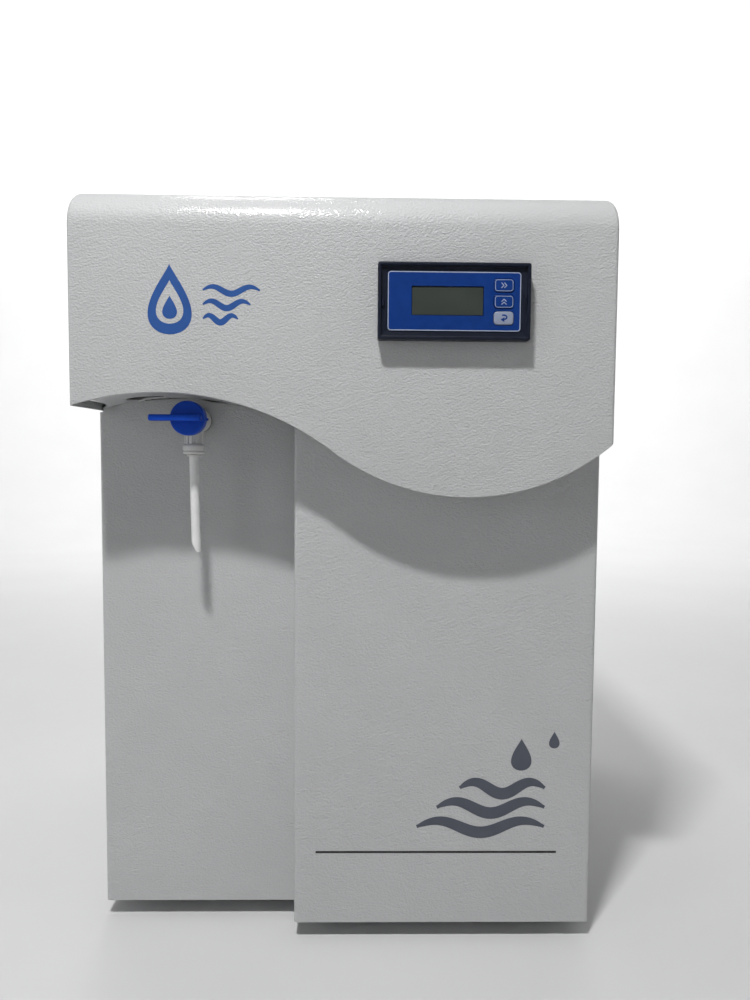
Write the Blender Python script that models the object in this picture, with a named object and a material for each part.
# Benchtop water purifier, modelled as its separate pieces.
# Metres, X to the right, Y to the back, Z up. The origin is under the middle of the
# whole machine, on the surface that its rubber feet stand on.

from math import asin, ceil, cos, pi, radians, sin, sqrt, tan

import bmesh
import bpy
from mathutils import Euler, Matrix, Vector

# Cabinet
CASE_WIDTH = 0.350
CASE_HEIGHT = 0.500
CASE_DEPTH = 0.410
FOOT_HEIGHT = 0.012
SHEET = 0.0015
BEND_RADIUS = 0.0008
SEAT_GAP = 0.0003
SEAM = 0.0012
OVERRUN = 0.006

# Hood: its front and top are one fold, and its lower edge is a wave
BROW_RADIUS = 0.025
SHOULDER_RADIUS = 0.005
CROWN_X_SHARE = -0.3371
CROWN_DROP = 0.130
BOWL_X_SHARE = 0.2286
BOWL_DROP = 0.196
CROWN_RADIUS_SHARE = 0.56
SOFFIT_LIP = 0.010
SOFFIT_RELIEF = 0.012
SOFFIT_RELIEF_START = 0.022

# Lower front panels
PANEL_SETBACK = 0.028
NICHE_SETBACK = 0.055
NICHE_WIDTH = 0.1408
PANEL_RETURN = 0.015
PANEL_LAP = 0.012

# Tray, frame and filter plate
TRAY_WALL = 0.020
POST_LEG = 0.028
PLATE_SETBACK = 0.235
PLATE_FLANGE = 0.015
PLATE_HOLE_RADIUS = 0.014
PLATE_HOLE_DROP = 0.110

# Feet and screws
FOOT_RADIUS = 0.012
FOOT_TAPER = 0.002
FOOT_INSET = 0.036
FOOT_WELL_RADIUS = 0.006
FOOT_WELL_DEPTH = 0.005
SCREW_RADIUS = 0.002

# Air slots in the back and side panels
SLOT_LENGTH = 0.064
SLOT_HEIGHT = 0.004
SLOT_PITCH = 0.016
BACK_SLOT_ROWS = 8
BACK_SLOT_DROP = 0.118
BACK_SLOT_X = 0.060
SIDE_SLOT_ROWS = 6
SIDE_SLOT_RISE = 0.060
SIDE_SLOT_BACK = 0.075

# Panel meter
METER_EDGE = 0.1058
METER_DROP = 0.0724
BEZEL_WIDTH = 0.096
BEZEL_HEIGHT = 0.048
BEZEL_PROUD = 0.009
BEZEL_CORNER = 0.0015
BEZEL_CHAMFER = 0.001
RIM_WIDTH = 0.002
RIM_DEPTH = 0.0015
NOTCH_WIDTH = 0.0012
NOTCH_HEIGHT = 0.006
METER_CASE_MARGIN = 0.0025
METER_CASE_WALL = 0.0025
METER_DEPTH = 0.075
CUTOUT_CLEARANCE = 0.0005
FILM_WIDTH = 0.0837
FILM_HEIGHT = 0.0368
FILM_THICKNESS = 0.002
FILM_CORNER = 0.002
LCD_WIDTH = 0.0453
LCD_HEIGHT = 0.0176
LCD_X = -0.0042
LCD_RECESS = 0.0006
LCD_BORDER = 0.0025
LCD_THICKNESS = 0.0028
BOARD_THICKNESS = 0.0016
BOARD_SEAT = 0.0008
KEY_WIDTH = 0.0124
KEY_HEIGHT = 0.0082
KEY_CORNER = 0.0022
KEY_X = 0.0311
KEY_PITCH = 0.0101
KEY_PROUD = 0.0006
KEY_TRAVEL = 0.0005
KEY_THICKNESS = 0.0032
SWITCH_SIZE = 0.006
CLAMP_WIDTH = 0.006
CLAMP_HEIGHT = 0.014
CLAMP_LENGTH = 0.040
TERMINAL_WIDTH = 0.066
TERMINAL_HEIGHT = 0.012
TERMINAL_DEPTH = 0.010
TERMINAL_SCREWS = 8
TERMINAL_SCREW_RADIUS = 0.0026

# Tap
TAP_EDGE = 0.0715
TAP_DROP = 0.1456
KNOB_SETBACK = 0.014
KNOB_RADIUS = 0.0115
KNOB_DEPTH = 0.0095
KNOB_EDGE = 0.0008
LEVER_REACH = 0.024
LEVER_TAIL = 0.0103
LEVER_THICKNESS = 0.0041
LEVER_PROUD = 0.006
LEVER_SUNK = 0.0065
TAB_REACH = 0.0012
TAB_DEPTH = 0.0025
SPOUT_SETBACK = 0.034
BARREL_RADIUS = 0.0084
BALL_RADIUS = 0.0065
BALL_PORT = 0.003
STEM_RADIUS = 0.0028
STEM_SOCKET = 0.006
GASKET_THICKNESS = 0.0012
SHANK_FLANGE_RADIUS = 0.0084
SHANK_FLANGE = 0.003
SHANK_RADIUS = 0.0062
SHANK_REACH = 0.026
NUT_FLATS = 0.019
NUT_HEIGHT = 0.006
BRANCH_RADIUS = 0.0057
BRANCH_RIBS = 6
BRANCH_RIB = 0.0011
COLLAR_DROP = 0.0237
COLLAR_HEIGHT = 0.0068
COLLAR_RADIUS = 0.0074
COLLAR_CHAMFER = 0.0009
COLLAR_LIP = 0.0022
RING_RADIUS = 0.0048
RING_HEIGHT = 0.0014
HOSE_RADIUS = 0.003175
HOSE_WALL = 0.001
HOSE_CLEARANCE = 0.0006
HOSE_LEAD = 0.016
SPOUT_DROP = 0.0911
SPOUT_CUT_HEIGHT = 0.0072
SPOUT_CUT_WIDTH = 0.0041
SPOUT_LEAN = radians(1.1)

# Filters
CARTRIDGE_RADIUS = 0.0255
CARTRIDGE_LENGTH = 0.250
CARTRIDGE_RISE = 0.055
CARTRIDGE_SPACING = 0.010
CARTRIDGE_EDGE = 0.012
POLISHER_SPACING = 0.024
POLISHER_RADIUS = 0.032
BOSS_RADIUS = 0.010
BOSS_LENGTH = 0.012
DOME_LENGTH = 0.010
CAP_LENGTH = 0.030
CAP_LIP = 0.002
CLIP_STANDOFF = 0.008
CLIP_THICKNESS = 0.0025
CLIP_HEIGHT = 0.012
CLIP_FOOT = 0.016
CLIP_DOME_GAP = 0.027
CLIP_CAP_GAP = 0.007
MEMBRANE_RADIUS = 0.030
MEMBRANE_LENGTH = 0.290
MEMBRANE_DROP = 0.028
MEMBRANE_CAP = 0.045
MEMBRANE_CAP_LIP = 0.004

# Pump
PUMP_RISE = 0.048
PUMP_CLEARANCE = 0.024
PUMP_EDGE = 0.103
MOTOR_RADIUS = 0.029
MOTOR_LENGTH = 0.078
MOTOR_BOSS_RADIUS = 0.010
PUMP_HEAD_RADIUS = 0.033
PUMP_HEAD_LENGTH = 0.050
PUMP_BASE_LENGTH = 0.092
PUMP_BASE_WIDTH = 0.056
PUMP_NOZZLE_SHARE = 0.72

# Valve, switch, power supply, control board and probe
VALVE_EDGE = 0.090
VALVE_RISE = 0.190
VALVE_BODY = 0.022
VALVE_COIL = 0.028
SUPPLY_WIDTH = 0.099
SUPPLY_DEPTH = 0.082
SUPPLY_HEIGHT = 0.030
SUPPLY_EDGE = 0.080
SUPPLY_CLEARANCE = 0.024
CONTROL_WIDTH = 0.110
CONTROL_HEIGHT = 0.080
CONTROL_EDGE = 0.090
CONTROL_DROP = 0.090
CONTROL_STANDOFF = 0.006
RELAY_SIZE = 0.016
RELAYS = 3
PROBE_RADIUS = 0.008
PROBE_LENGTH = 0.040
TEE_RADIUS = 0.011
TEE_LENGTH = 0.030

# Water connections on the back
PORT_EDGE = 0.055
PORT_PITCH = 0.040
PORT_RISE = 0.150
PORT_FLANGE_RADIUS = 0.0105
PORT_FLANGE = 0.003
PORT_BARREL_RADIUS = 0.0085
PORT_BARREL = 0.016
PORT_SHANK_RADIUS = 0.007
PORT_SHANK = 0.024
PORT_BORE = 0.002
COLLET_RADIUS = 0.0052
COLLET_DEPTH = 0.007
COLLET_LIP_RADIUS = 0.0068
COLLET_LIP = 0.0016
COLLET_TRAVEL = 0.0012

# Mains inlet and its rocker switch
INLET_EDGE = 0.070
INLET_RISE = 0.105
INLET_WIDTH = 0.034
INLET_HEIGHT = 0.052
INLET_FLANGE = 0.003
INLET_BORDER = 0.006
INLET_DEPTH = 0.024
SOCKET_WIDTH = 0.025
SOCKET_HEIGHT = 0.0175
SOCKET_DEPTH = 0.017
SOCKET_DROP = 0.0115
SOCKET_CHAMFER = 0.004
PIN_WIDTH = 0.002
PIN_HEIGHT = 0.005
PIN_LENGTH = 0.0125
PIN_SPREAD = 0.007
PIN_OFFSET = 0.002
ROCKER_LIFT = 0.0135
ROCKER_HALF_LENGTH = 0.0105
ROCKER_HEIGHT = 0.0115
ROCKER_PROUD = 0.0032
ROCKER_DIP = 0.0016
ROCKER_BACK = 0.0018
ROCKER_KEEL = 0.0045
ROCKER_TILT = radians(8)
ROCKER_CLEARANCE = 0.0006
ROCKER_POCKET = 0.008

# Facets
WAVE_STEP = radians(4)
WAVE_LIMIT = radians(50)
FOLD_STEPS = 6
CORNER_STEPS = 3
ROUND_SIDES = 20
SMALL_SIDES = 12
HEX_SIDES = 6
KNOB_SIDES = 24
FILTER_SIDES = 16
BALL_RINGS = 6
CLIP_OPENING_SIDES = 4
HOSE_STEPS = 10
CREASE_ANGLE = radians(32)

# Planes that the pieces share
PORT_REACH = PORT_BARREL + COLLET_TRAVEL + SEAT_GAP + COLLET_LIP
OVERALL_DEPTH = BEZEL_PROUD + CASE_DEPTH + PORT_REACH
HEAD_FRONT = BEZEL_PROUD - OVERALL_DEPTH / 2
CASE_BACK = HEAD_FRONT + CASE_DEPTH
PANEL_FRONT = HEAD_FRONT + PANEL_SETBACK
NICHE_FRONT = HEAD_FRONT + NICHE_SETBACK
CASE_BOTTOM = FOOT_HEIGHT
CASE_TOP = CASE_BOTTOM + CASE_HEIGHT
HALF_WIDTH = CASE_WIDTH / 2
SKIN = SHEET + SEAT_GAP
REAR = CASE_BACK - SKIN
FLOOR = CASE_BOTTOM + SKIN
EDGE_RADIUS = SHEET + BEND_RADIUS
POST_X = HALF_WIDTH - 2 * SKIN
STEP_X = NICHE_WIDTH - HALF_WIDTH
RAIL_X = HALF_WIDTH - SHOULDER_RADIUS - SEAT_GAP
RAIL_TOP = CASE_TOP - SKIN
PLATE_FRONT = HEAD_FRONT + PLATE_SETBACK
PLATE_BACK = PLATE_FRONT + SHEET
PLATE_TOP = RAIL_TOP - POST_LEG - SEAT_GAP
METER_X = HALF_WIDTH - METER_EDGE
METER_Z = CASE_TOP - METER_DROP
BEZEL_FRONT = HEAD_FRONT - BEZEL_PROUD
FILM_FRONT = BEZEL_FRONT + RIM_DEPTH
FILM_BACK = FILM_FRONT + FILM_THICKNESS
TAP_X = TAP_EDGE - HALF_WIDTH
TAP_Z = CASE_TOP - TAP_DROP
SPOUT_Y = HEAD_FRONT + SPOUT_SETBACK
HOSE_BORE = HOSE_RADIUS + HOSE_CLEARANCE
PORT_Z = CASE_BOTTOM + PORT_RISE
TANK_X = PORT_EDGE - HALF_WIDTH
FEED_X = TANK_X + PORT_PITCH
DRAIN_X = FEED_X + PORT_PITCH
INLET_X = HALF_WIDTH - INLET_EDGE
INLET_Z = CASE_BOTTOM + INLET_RISE
PUMP_X = PUMP_EDGE - HALF_WIDTH
VALVE_X = VALVE_EDGE - HALF_WIDTH
CONTROL_X = CONTROL_EDGE - HALF_WIDTH
SUPPLY_X = HALF_WIDTH - SUPPLY_EDGE
SCREW_BORE = SCREW_RADIUS + SEAT_GAP

# The wave's crown and bowl are two arcs that meet on the line through their centres
CROWN_X = CASE_WIDTH * CROWN_X_SHARE
CROWN_Z = CASE_TOP - CROWN_DROP
BOWL_X = CASE_WIDTH * BOWL_X_SHARE
BOWL_Z = CASE_TOP - BOWL_DROP
WAVE_RUN = BOWL_X - CROWN_X
WAVE_DROP = CROWN_Z - BOWL_Z
RADII_SUM = (WAVE_RUN ** 2 + WAVE_DROP ** 2) / (2 * WAVE_DROP)
CROWN_RADIUS = RADII_SUM * CROWN_RADIUS_SHARE
BOWL_RADIUS = RADII_SUM - CROWN_RADIUS

TURNS = {
    "+Z": (0, 0, 0),
    "-Z": (pi, 0, 0),
    "+Y": (-pi / 2, 0, 0),
    "-Y": (pi / 2, 0, 0),
    "+X": (0, pi / 2, 0),
    "-X": (0, -pi / 2, 0),
}


def finish(name, colour, roughness, metallic=0.0):
    """A plain surface finish."""
    material = bpy.data.materials.new(name)
    material.use_nodes = True
    shader = material.node_tree.nodes["Principled BSDF"]
    shader.inputs["Base Color"].default_value = (*colour, 1.0)
    shader.inputs["Roughness"].default_value = roughness
    shader.inputs["Metallic"].default_value = metallic
    material.diffuse_color = (*colour, 1.0)
    return material


def piece(name, form, surface=None, at=(0, 0, 0), turn="+Z"):
    """Turn a bmesh into a named object, smooth except at its creases."""
    bmesh.ops.recalc_face_normals(form, faces=form.faces)
    mesh = bpy.data.meshes.new(name)
    form.to_mesh(mesh)
    form.free()
    mesh.shade_smooth()
    mesh.set_sharp_from_angle(angle=CREASE_ANGLE)
    body = bpy.data.objects.new(name, mesh)
    bpy.context.scene.collection.objects.link(body)
    body.location = at
    body.rotation_euler = TURNS[turn]
    if surface:
        mesh.materials.append(surface)
    return body


def combine(body, tool, operation):
    """Add a Boolean to a body and set its tool aside as a wire guide."""
    step = body.modifiers.new(tool.name, "BOOLEAN")
    step.operation = operation
    step.solver = "EXACT"
    step.object = tool
    tool.hide_render = True
    tool.display_type = "WIRE"


def cut(body, *tools):
    """Take each tool away from the body."""
    for tool in tools:
        combine(body, tool, "DIFFERENCE")


def weld(body, *tools):
    """Join each tool to the body."""
    for tool in tools:
        combine(body, tool, "UNION")


def add_prism(form, outline, axis, low, high):
    """Add a prism: an outline in the plane across the axis, carried from low to high."""
    def point(u, v, along):
        """Put the two outline coordinates and the axis coordinate in order."""
        if axis == "X":
            return (along, u, v)
        if axis == "Y":
            return (u, along, v)
        return (u, v, along)
    first = [form.verts.new(point(u, v, low)) for u, v in outline]
    last = [form.verts.new(point(u, v, high)) for u, v in outline]
    form.faces.new(first)
    form.faces.new(last)
    for here, there in zip(range(len(outline)), [*range(1, len(outline)), 0]):
        form.faces.new((first[here], first[there], last[there], last[here]))


def prism(name, outline, axis, low, high, surface=None):
    """One prism as an object."""
    form = bmesh.new()
    add_prism(form, outline, axis, low, high)
    return piece(name, form, surface)


def rectangle(u_low, u_high, v_low, v_high):
    """Four corners."""
    return [(u_low, v_low), (u_high, v_low), (u_high, v_high), (u_low, v_high)]


def block(name, low, high, surface=None):
    """A box between two corners."""
    outline = rectangle(low[0], high[0], low[1], high[1])
    return prism(name, outline, "Z", low[2], high[2], surface)


def blocks(name, corners, surface=None):
    """Several separate boxes in one object."""
    form = bmesh.new()
    for low, high in corners:
        add_prism(form, rectangle(low[0], high[0], low[1], high[1]), "Z", low[2], high[2])
    return piece(name, form, surface)


def rounded(u, v, width, height, radius, steps=CORNER_STEPS):
    """A rectangle about a centre with its four corners rounded."""
    outline = []
    for corner, (side_u, side_v) in enumerate(((1, 1), (-1, 1), (-1, -1), (1, -1))):
        centre_u = u + side_u * (width / 2 - radius)
        centre_v = v + side_v * (height / 2 - radius)
        for step in range(steps + 1):
            angle = (corner + step / steps) * pi / 2
            outline.append((centre_u + radius * cos(angle), centre_v + radius * sin(angle)))
    return outline


def add_turned(form, profile, sides, ring=False, place=None, phase=0.0):
    """Add a turned shape: (radius, distance) points carried round the local Z axis."""
    place = place or Matrix()
    rings = []
    for radius, distance in profile:
        if radius == 0:
            rings.append([form.verts.new(place @ Vector((0, 0, distance)))])
            continue
        turns = [2 * pi * side / sides + phase for side in range(sides)]
        rings.append([
            form.verts.new(place @ Vector((radius * cos(turn), radius * sin(turn), distance)))
            for turn in turns
        ])
    pairs = list(zip(rings, rings[1:]))
    if ring:
        pairs.append((rings[-1], rings[0]))
    for low, high in pairs:
        for side in range(sides):
            after = (side + 1) % sides
            if len(low) == 1:
                form.faces.new((low[0], high[side], high[after]))
            elif len(high) == 1:
                form.faces.new((low[side], low[after], high[0]))
            else:
                form.faces.new((low[side], low[after], high[after], high[side]))


def turned(name, profile, surface=None, at=(0, 0, 0), turn="+Z", sides=ROUND_SIDES, ring=False):
    """One turned shape as an object."""
    form = bmesh.new()
    add_turned(form, profile, sides, ring)
    return piece(name, form, surface, at, turn)


def rod(radius, low, high):
    """The profile of a plain cylinder."""
    return [(0, low), (radius, low), (radius, high), (0, high)]


def lying(place, turn):
    """The matrix that moves a shape from the origin to a place, with its Z axis turned."""
    return Matrix.Translation(place) @ Euler(TURNS[turn]).to_matrix().to_4x4()


def rods(name, radius, low, high, places, turn, sides=SMALL_SIDES):
    """Several plain cylinders that point one way, in one object, to cut holes with."""
    form = bmesh.new()
    for place in places:
        add_turned(form, rod(radius, low, high), sides, place=lying(place, turn))
    return piece(name, form)


def hexagon(u, v, flats):
    """A hexagon of a given width across its flats."""
    reach = flats / 2 / cos(pi / HEX_SIDES)
    turns = [2 * pi * side / HEX_SIDES for side in range(HEX_SIDES)]
    return [(u + reach * cos(turn), v + reach * sin(turn)) for turn in turns]


def wave(x, lift=0.0):
    """Height of the hood's lower edge at x, or of a line a given distance above it.

    Each of the two arcs runs on as a straight slope past its steepest turn.
    """
    crown = CROWN_RADIUS + lift
    bowl = BOWL_RADIUS - lift
    if x < CROWN_X + WAVE_RUN * crown / RADII_SUM:
        centre_x, centre_z, radius, side = CROWN_X, CROWN_Z - CROWN_RADIUS, crown, 1
    else:
        centre_x, centre_z, radius, side = BOWL_X, BOWL_Z + BOWL_RADIUS, bowl, -1
    across = abs(x - centre_x)
    turned_across = min(across, radius * sin(WAVE_LIMIT))
    slope = (across - turned_across) * tan(WAVE_LIMIT)
    return centre_z + side * (sqrt(radius ** 2 - turned_across ** 2) - slope)


def wave_line(left, right, lift=0.0):
    """Points along the wave from left to right, evenly turned along its two arcs."""
    crown = CROWN_RADIUS + lift
    bowl = BOWL_RADIUS - lift
    meeting = CROWN_X + WAVE_RUN * crown / RADII_SUM
    bound = sin(WAVE_LIMIT)
    stations = []
    for start, stop, centre, radius in (
        (left, min(meeting, right), CROWN_X, crown),
        (max(meeting, left), right, BOWL_X, bowl),
    ):
        if stop <= start:
            continue
        first = asin(max(-bound, min(bound, (start - centre) / radius)))
        last = asin(max(-bound, min(bound, (stop - centre) / radius)))
        steps = max(1, ceil((last - first) / WAVE_STEP))
        turns = [first + (last - first) * step / steps for step in range(steps + 1)]
        stations += [centre + radius * sin(turn) for turn in turns]
    kept = [left]
    for x in stations:
        if x - kept[-1] > SEAT_GAP and right - x > SEAT_GAP:
            kept.append(x)
    kept.append(right)
    return [(x, wave(x, lift)) for x in kept]


def below_wave(left, right, lift=0.0):
    """Everything under the wave, as an outline in X and Z."""
    return [*wave_line(left, right, lift), (right, -OVERRUN), (left, -OVERRUN)]


def above_wave(left, right, lift):
    """Everything over a line above the wave, as an outline in X and Z."""
    high = CASE_TOP + OVERRUN
    return [*wave_line(left, right, lift), (right, high), (left, high)]


def hood_block(name, inset, bottom, rear, surface=None):
    """A solid of the hood's outside, moved in by an inset.

    Its side outline runs up the front, round the brow and back along the top. The edge
    between that face and each side has the small radius of a fold at the front, and grows
    to the shoulder's radius on the top.
    """
    brow = BROW_RADIUS - inset
    stations = [(HEAD_FRONT + inset, bottom, 0.0)]
    for step in range(FOLD_STEPS + 1):
        turn = pi / 2 * step / FOLD_STEPS
        y = HEAD_FRONT + BROW_RADIUS - brow * cos(turn)
        z = CASE_TOP - BROW_RADIUS + brow * sin(turn)
        stations.append((y, z, turn))
    stations.append((rear, CASE_TOP - inset, pi / 2))
    form = bmesh.new()
    strips = []
    for y, z, turn in stations:
        growth = sin(turn) ** 2
        radius = EDGE_RADIUS + (SHOULDER_RADIUS - EDGE_RADIUS) * growth - inset
        arc = [pi / 2 * step / CORNER_STEPS for step in range(CORNER_STEPS + 1)]
        left = []
        right = []
        for angle in arc:
            sunk = radius * (1 - cos(angle))
            out = HALF_WIDTH - inset - radius * (1 - sin(angle))
            spot_y = y + sunk * cos(turn)
            spot_z = z - sunk * sin(turn)
            left.append(form.verts.new((-out, spot_y, spot_z)))
            right.append(form.verts.new((out, spot_y, spot_z)))
        strips.append([*reversed(left), *right])
    for low, high in zip(strips, strips[1:]):
        for here, there in zip(range(len(low) - 1), range(1, len(low))):
            form.faces.new((low[here], low[there], high[there], high[here]))
    inner = HALF_WIDTH - inset
    heel_left = form.verts.new((-inner, rear, bottom))
    heel_right = form.verts.new((inner, rear, bottom))
    form.faces.new([strip[0] for strip in strips] + [heel_left])
    form.faces.new([strip[-1] for strip in strips] + [heel_right])
    form.faces.new([*strips[0], heel_right, heel_left])
    form.faces.new([*strips[-1], heel_right, heel_left])
    return piece(name, form, surface)


def corner_arc(x, y, radius, start, stop):
    """Points on a quarter round in plan, from one angle to another."""
    turns = [start + (stop - start) * step / CORNER_STEPS for step in range(CORNER_STEPS + 1)]
    return [(x + radius * cos(turn), y + radius * sin(turn)) for turn in turns]


for old in list(bpy.data.objects):
    bpy.data.objects.remove(old, do_unlink=True)

POWDER_COAT = finish("powder_coat", (0.74, 0.75, 0.74), 0.42)
ZINC_STEEL = finish("zinc_steel", (0.62, 0.63, 0.64), 0.35, 0.9)
BLACK_PLASTIC = finish("black_plastic", (0.02, 0.025, 0.04), 0.38)
BLUE_FILM = finish("blue_film", (0.02, 0.10, 0.42), 0.30)
GREY_KEY = finish("grey_key", (0.72, 0.74, 0.78), 0.35)
LCD_GREEN = finish("lcd_green", (0.42, 0.46, 0.40), 0.25)
CIRCUIT_GREEN = finish("circuit_green", (0.03, 0.20, 0.10), 0.45)
TERMINAL_GREEN = finish("terminal_green", (0.05, 0.35, 0.15), 0.45)
BLUE_KNOB = finish("blue_knob", (0.01, 0.06, 0.38), 0.35)
WHITE_PLASTIC = finish("white_plastic", (0.85, 0.86, 0.85), 0.38)
MILKY_HOSE = finish("milky_hose", (0.82, 0.83, 0.82), 0.45)
BLACK_RUBBER = finish("black_rubber", (0.03, 0.03, 0.03), 0.85)
MOTOR_BLACK = finish("motor_black", (0.05, 0.05, 0.055), 0.40, 0.6)
POLISHED_STEEL = finish("polished_steel", (0.60, 0.61, 0.62), 0.30, 1.0)

# Hood: one shell, open below and behind, cut along the wave, with the meter's window
hood = hood_block("hood", 0.0, BOWL_Z - OVERRUN, REAR, POWDER_COAT)
hood_inside = hood_block("hood_inside", SHEET, BOWL_Z - 2 * OVERRUN, REAR + OVERRUN)
cut_left = -HALF_WIDTH - OVERRUN
cut_right = HALF_WIDTH + OVERRUN
hood_wave = prism("hood_wave", below_wave(cut_left, cut_right), "Y", HEAD_FRONT - OVERRUN, CASE_BACK)
METER_CASE_WIDTH = BEZEL_WIDTH - 2 * METER_CASE_MARGIN
METER_CASE_HEIGHT = BEZEL_HEIGHT - 2 * METER_CASE_MARGIN
meter_window = prism(
    "meter_window",
    rounded(METER_X, METER_Z, METER_CASE_WIDTH + 2 * CUTOUT_CLEARANCE,
            METER_CASE_HEIGHT + 2 * CUTOUT_CLEARANCE, BEZEL_CORNER),
    "Y", HEAD_FRONT - OVERRUN, HEAD_FRONT + OVERRUN,
)
cut(hood, hood_inside, hood_wave, meter_window)

# Soffit: a strip that follows the wave back to the lower panels, with a lip up the front
soffit_front = HEAD_FRONT + SKIN
soffit_left = -HALF_WIDTH + SKIN
soffit_right = HALF_WIDTH - SKIN
strip_outline = wave_line(soffit_left, soffit_right) + wave_line(soffit_left, soffit_right, SHEET)[::-1]
lip_outline = wave_line(soffit_left, soffit_right) + wave_line(soffit_left, soffit_right, SOFFIT_LIP)[::-1]
hood_soffit = prism("hood_soffit", strip_outline, "Y", soffit_front, NICHE_FRONT - SEAT_GAP, POWDER_COAT)
soffit_lip = prism("soffit_lip", lip_outline, "Y", soffit_front, soffit_front + SHEET)
weld(hood_soffit, soffit_lip)
soffit_trim = block(
    "soffit_trim",
    (STEP_X - SEAT_GAP, PANEL_FRONT - SEAT_GAP, CASE_BOTTOM),
    (HALF_WIDTH + OVERRUN, NICHE_FRONT + OVERRUN, CASE_TOP),
)
relief_y = HEAD_FRONT + SOFFIT_RELIEF_START
relief_depth = NICHE_FRONT - relief_y
relief_turns = [pi / 2 * step / FOLD_STEPS for step in range(FOLD_STEPS + 1)]
relief_outline = [(-HALF_WIDTH - OVERRUN, NICHE_FRONT), (-HALF_WIDTH - OVERRUN, HEAD_FRONT)]
relief_outline.append((-HALF_WIDTH + SOFFIT_RELIEF, HEAD_FRONT))
for turn in relief_turns:
    relief_outline.append((
        soffit_left + (SOFFIT_RELIEF - SKIN) * cos(turn),
        relief_y + relief_depth * sin(turn),
    ))
soffit_relief = prism("soffit_relief", relief_outline, "Z", CASE_BOTTOM, CASE_TOP)
cut(hood_soffit, soffit_trim, soffit_relief)

# Niche panel: the left front sheet, folded back along its left edge
left_skirt = wave(-HALF_WIDTH)
right_skirt = wave(HALF_WIDTH - SHEET)
niche_plan = [(-HALF_WIDTH, NICHE_FRONT + PANEL_RETURN)]
niche_plan += corner_arc(-HALF_WIDTH + EDGE_RADIUS, NICHE_FRONT + EDGE_RADIUS, EDGE_RADIUS, pi, 3 * pi / 2)
niche_plan += [(STEP_X - SEAT_GAP, NICHE_FRONT), (STEP_X - SEAT_GAP, NICHE_FRONT + SHEET)]
niche_plan += corner_arc(
    -HALF_WIDTH + EDGE_RADIUS, NICHE_FRONT + EDGE_RADIUS, BEND_RADIUS, 3 * pi / 2, pi)
niche_plan.append((-HALF_WIDTH + SHEET, NICHE_FRONT + PANEL_RETURN))
niche_panel = prism("niche_panel", niche_plan, "Z", CASE_BOTTOM, CROWN_Z + PANEL_LAP + OVERRUN, POWDER_COAT)
niche_top = prism(
    "niche_top", above_wave(cut_left, cut_right, PANEL_LAP), "Y",
    NICHE_FRONT - OVERRUN, NICHE_FRONT + PANEL_RETURN + OVERRUN)
niche_notch = block(
    "niche_notch",
    (cut_left, NICHE_FRONT - OVERRUN, left_skirt - SEAM),
    (-HALF_WIDTH + SKIN + BEND_RADIUS, NICHE_FRONT + PANEL_RETURN + OVERRUN, CASE_TOP),
)
tap_hole = rods("tap_hole", SHANK_RADIUS + SEAT_GAP, -OVERRUN, OVERRUN,
                [(TAP_X, NICHE_FRONT, TAP_Z)], "+Y", ROUND_SIDES)
cut(niche_panel, niche_top, niche_notch, tap_hole)

# Right front panel: folded back along its right edge, and along the step to the niche
front_plan = [(HALF_WIDTH, PANEL_FRONT + PANEL_RETURN), (HALF_WIDTH - SHEET, PANEL_FRONT + PANEL_RETURN)]
front_plan += corner_arc(HALF_WIDTH - EDGE_RADIUS, PANEL_FRONT + EDGE_RADIUS, BEND_RADIUS, 0, -pi / 2)
front_plan += corner_arc(STEP_X + EDGE_RADIUS, PANEL_FRONT + EDGE_RADIUS, BEND_RADIUS, 3 * pi / 2, pi)
front_plan += [(STEP_X + SHEET, NICHE_FRONT + SHEET), (STEP_X, NICHE_FRONT + SHEET)]
front_plan += corner_arc(STEP_X + EDGE_RADIUS, PANEL_FRONT + EDGE_RADIUS, EDGE_RADIUS, pi, 3 * pi / 2)
front_plan += corner_arc(HALF_WIDTH - EDGE_RADIUS, PANEL_FRONT + EDGE_RADIUS, EDGE_RADIUS, -pi / 2, 0)
front_panel = prism("front_panel", front_plan, "Z", CASE_BOTTOM, CROWN_Z + PANEL_LAP + OVERRUN, POWDER_COAT)
front_top = prism(
    "front_top", above_wave(cut_left, cut_right, PANEL_LAP), "Y",
    PANEL_FRONT - OVERRUN, NICHE_FRONT + OVERRUN)
front_notch = block(
    "front_notch",
    (HALF_WIDTH - SKIN - BEND_RADIUS, PANEL_FRONT - OVERRUN, right_skirt - SEAM),
    (cut_right, PANEL_FRONT + PANEL_RETURN + OVERRUN, CASE_TOP),
)
cut(front_panel, front_top, front_notch)

# Base tray: follows the stepped front, with its walls turned up inside the panels
def tray_plan(inset):
    """The tray's outline in plan, moved in by an inset."""
    left = -HALF_WIDTH + SKIN + inset
    right = HALF_WIDTH - SKIN - inset
    step = STEP_X + SKIN + inset
    front = PANEL_FRONT + SKIN + inset
    niche = NICHE_FRONT + SKIN + inset
    back = REAR - inset
    return [(left, back), (left, niche), (step, niche), (step, front), (right, front), (right, back)]


base_tray = prism("base_tray", tray_plan(0.0), "Z", CASE_BOTTOM, CASE_BOTTOM + TRAY_WALL, ZINC_STEEL)
tray_inside = prism(
    "tray_inside", tray_plan(SHEET), "Z", CASE_BOTTOM + SHEET, CASE_BOTTOM + TRAY_WALL + OVERRUN)
foot_left = -HALF_WIDTH + FOOT_INSET
foot_right = HALF_WIDTH - FOOT_INSET
foot_front = NICHE_FRONT + FOOT_INSET
foot_back = CASE_BACK - FOOT_INSET
foot_places = [(x, y, 0) for x in (foot_left, foot_right) for y in (foot_front, foot_back)]
foot_holes = rods("foot_holes", SCREW_BORE, -OVERRUN, CASE_BOTTOM + OVERRUN, foot_places, "+Z")
cut(base_tray, tray_inside, foot_holes)

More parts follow.
